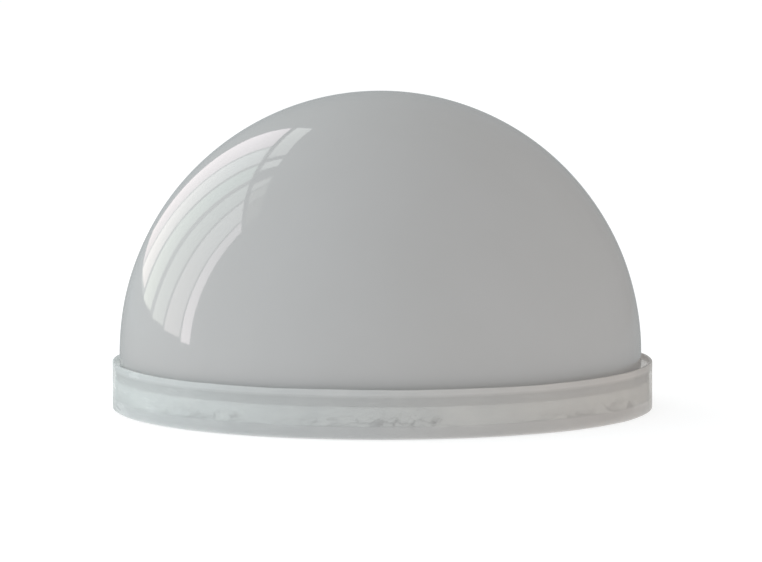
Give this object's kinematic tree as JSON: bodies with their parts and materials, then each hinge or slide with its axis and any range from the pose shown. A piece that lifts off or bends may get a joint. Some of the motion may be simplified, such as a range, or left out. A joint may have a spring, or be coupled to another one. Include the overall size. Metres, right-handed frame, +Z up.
{
  "type": "radar dome antenna",
  "caption": "Hemispherical milky radome in a bonded translucent collar over a welded base, with a geared turning slotted scanner, transceiver and control board inside.",
  "frame": {"origin": "centre of the mounting plane under the four pads, on the scanner's axis", "axes": "+Z up along the scanner's axis, front along -Y, connector well at +Y"},
  "size_m": [0.48, 0.48, 0.2815],
  "materials": {
    "milky_shell": "moulded gloss, milky, passes a little light",
    "frosted_hoop": "translucent, satin, scuffed",
    "bond": "cured clear adhesive with bubbles",
    "powder_white": "powder coated casting, satin",
    "cast_grey": "as cast, shot blasted",
    "sheet_alloy": "brushed sheet, clear chromate",
    "machined_alloy": "turned",
    "stainless": "A4 stainless",
    "ground_steel": "ground bearing steel",
    "zinc_steel": "bright zinc plate",
    "dark_laminate": "varnished laminations",
    "brass_plain": "turned",
    "seal_black": "EPDM, matt",
    "acetal_white": "moulded acetal",
    "nylon_black": "moulded nylon",
    "cover_grey": "thermoformed, satin",
    "board_green": "solder mask",
    "sheath_black": "PVC insulation",
    "sheath_grey": "PVC insulation",
    "magnet_nickel": "nickel plate"
  },
  "bodies": {
    "radome": {"radome_dome": "milky_shell", "radome_inserts": "brass_plain", "collar_band": "frosted_hoop", "collar_bond": "bond"},
    "base": {"base_rim": "powder_white", "base_floor": "powder_white", "plug_bay": "powder_white", "base_gasket": "seal_black", "radome_screws": "stainless", "screw_seals": "seal_black", "mount_inserts": "stainless", "breather_vent": "nylon_black", "power_socket": "nylon_black", "network_socket": "machined_alloy", "socket_nuts": "zinc_steel", "socket_seals": "seal_black", "ground_stud": "stainless", "pedestal": "cast_grey", "pedestal_screws": "zinc_steel", "bearing_outers": "ground_steel", "bearing_circlip": "zinc_steel", "chassis_posts": "zinc_steel", "chassis_plate": "sheet_alloy", "chassis_screws": "zinc_steel", "motor_stator": "dark_laminate", "motor_end_bells": "cast_grey", "motor_screws": "zinc_steel", "transceiver_case": "cast_grey", "transceiver_lid": "cast_grey", "transceiver_screws": "zinc_steel", "rf_board": "board_green", "control_board": "board_green", "board_parts": "nylon_black", "board_standoffs": "brass_plain", "board_screws": "zinc_steel", "rotary_joint_stator": "brass_plain", "coax_jumper": "brass_plain", "power_lead": "sheath_black", "network_lead": "sheath_grey", "motor_lead": "sheath_black", "heading_sensor": "nylon_black"},
    "scanner": {"spindle": "stainless", "bearing_inners": "ground_steel", "bearing_spacer": "machined_alloy", "spindle_nut": "zinc_steel", "drive_gear": "acetal_white", "gear_screws": "zinc_steel", "heading_magnet": "magnet_nickel", "rotary_joint_rotor": "brass_plain", "radiator_bracket": "cast_grey", "radiator_channel": "sheet_alloy", "radiator_board": "board_green", "radiator_cover": "cover_grey", "radiator_end_caps": "nylon_black", "radiator_screws": "zinc_steel", "feed_line": "brass_plain"},
    "motor_rotor": {"motor_shaft": "ground_steel", "drive_pinion": "zinc_steel"},
    "bearing_cages": {"lower_bearing_balls": "ground_steel", "upper_bearing_balls": "ground_steel"}
  },
  "joints": [
    {"name": "radome_lift", "type": "slide", "parent": "base", "child": "radome", "axis": [0, 0, 1], "range_m": [0, 0.3]},
    {"name": "scanner_spin", "type": "hinge", "parent": "base", "child": "scanner", "pos_m": [0, 0, 0.064], "axis": [0, 0, 1], "continuous": true},
    {"name": "motor_spin", "type": "hinge", "parent": "base", "child": "motor_rotor", "pos_m": [0.084, 0, 0.064], "axis": [0, 0, 1], "continuous": true},
    {"name": "cage_spin", "type": "hinge", "parent": "base", "child": "bearing_cages", "pos_m": [0, 0, 0.064], "axis": [0, 0, 1], "continuous": true}
  ],
  "couplings": [
    {"joint": "motor_spin", "follows": "scanner_spin", "ratio": -5},
    {"joint": "cage_spin", "follows": "scanner_spin", "ratio": 0.40833}
  ]
}
